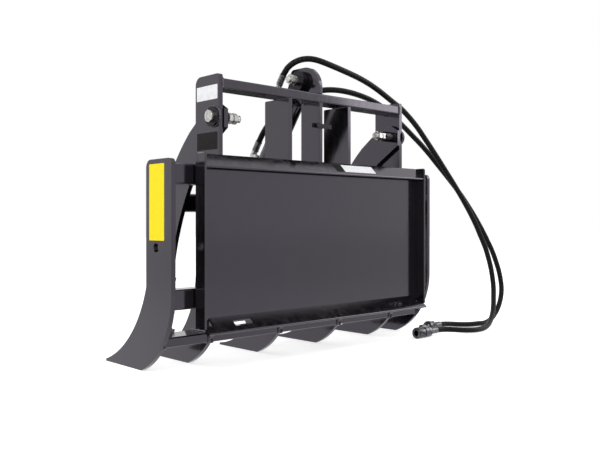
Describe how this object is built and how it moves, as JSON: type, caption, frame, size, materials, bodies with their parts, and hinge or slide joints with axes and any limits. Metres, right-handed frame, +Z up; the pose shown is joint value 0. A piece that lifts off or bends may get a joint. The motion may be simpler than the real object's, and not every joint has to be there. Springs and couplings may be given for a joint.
{
  "type": "brush grapple",
  "caption": "Grapple attachment for a mini loader: a tined frame with a quick-attach plate, and a claw on two pins that one hydraulic cylinder opens and closes.",
  "frame": {"origin": "on the ground, in the middle of the steelwork's width and depth with the claw closed, hoses left out", "axes": "+X to the operator's right along the tubes, +Y forward along the lower tines, +Z up"},
  "size_m": [1.472, 0.4723, 0.871],
  "materials": {
    "charcoal_paint": "gloss powder coat, dark charcoal",
    "black_steel": "satin black",
    "zinc": "bright zinc plate",
    "chrome_rod": "ground hard chrome",
    "hose": "matt rubber cover with spiral wrap",
    "nitrile": "smooth seal rubber",
    "bronze": "turned bearing bronze",
    "iron": "machined iron"
  },
  "bodies": {
    "frame": {"outer_tine_left": "charcoal_paint", "outer_tine_right": "charcoal_paint", "upright_left": "charcoal_paint", "upright_right": "charcoal_paint", "inner_tine_left": "charcoal_paint", "inner_tine_right": "charcoal_paint", "cylinder_tower": "charcoal_paint", "top_rail": "charcoal_paint", "cross_tube_top": "charcoal_paint", "cross_tube_middle": "charcoal_paint", "bottom_tube": "charcoal_paint", "mounting_plate": "charcoal_paint", "side_plate_left": "charcoal_paint", "side_plate_right": "charcoal_paint", "pivot_boss_left": "charcoal_paint", "pivot_boss_right": "charcoal_paint", "pivot_pin_left": "zinc", "pivot_pin_right": "zinc", "pivot_sleeve_left": "black_steel", "pivot_sleeve_right": "black_steel", "pivot_nuts": "zinc", "tower_bush": "bronze", "cylinder_pin": "zinc", "cylinder_pin_nuts": "zinc", "hose_guide": "black_steel", "hose_guide_bolt": "black_steel", "hose_upper_lead": "hose", "hose_upper_tail": "hose", "hose_lower_lead": "hose", "hose_lower_tail": "hose", "coupler_socket": "zinc", "coupler_sleeve": "zinc", "coupler_plug": "zinc", "coupler_ferrules": "zinc"},
    "claw": {"claw_arm_left": "charcoal_paint", "claw_arm_right": "charcoal_paint", "claw_bush_left": "bronze", "claw_bush_right": "bronze", "claw_tine_left": "charcoal_paint", "claw_tine_right": "charcoal_paint", "claw_tube": "charcoal_paint", "rod_pin": "zinc", "rod_pin_nuts": "zinc", "rod_pin_spacers": "black_steel"},
    "barrel": {"barrel": "charcoal_paint", "barrel_clevis": "black_steel", "cylinder_gland": "iron", "rod_wiper": "nitrile", "port_bosses": "charcoal_paint", "swivel_elbows": "zinc", "hose_ferrules": "zinc"},
    "rod": {"cylinder_rod": "chrome_rod", "piston": "iron", "piston_seal": "nitrile", "piston_nut": "zinc", "rod_eye": "charcoal_paint"}
  },
  "joints": [
    {"name": "claw_pivot", "type": "hinge", "parent": "frame", "child": "claw", "pos_m": [0, -0.14281, 0.648], "axis": [1, 0, 0], "range_deg": [0, 50]},
    {"name": "barrel_swing", "type": "hinge", "parent": "frame", "child": "barrel", "pos_m": [0, -0.08881, 0.791], "axis": [1, 0, 0], "range_deg": [0, 46], "deforming": ["hose_upper_lead", "hose_lower_lead"]},
    {"name": "rod_slide", "type": "slide", "parent": "barrel", "child": "rod", "axis": [0, -0.5735, 0.8192], "range_m": [0, 0.1275]}
  ],
  "couplings": [
    {"joint": "barrel_swing", "follows": "claw_pivot", "ratio": 0.904},
    {"joint": "rod_slide", "follows": "claw_pivot", "m_per_rad": 0.1455}
  ]
}
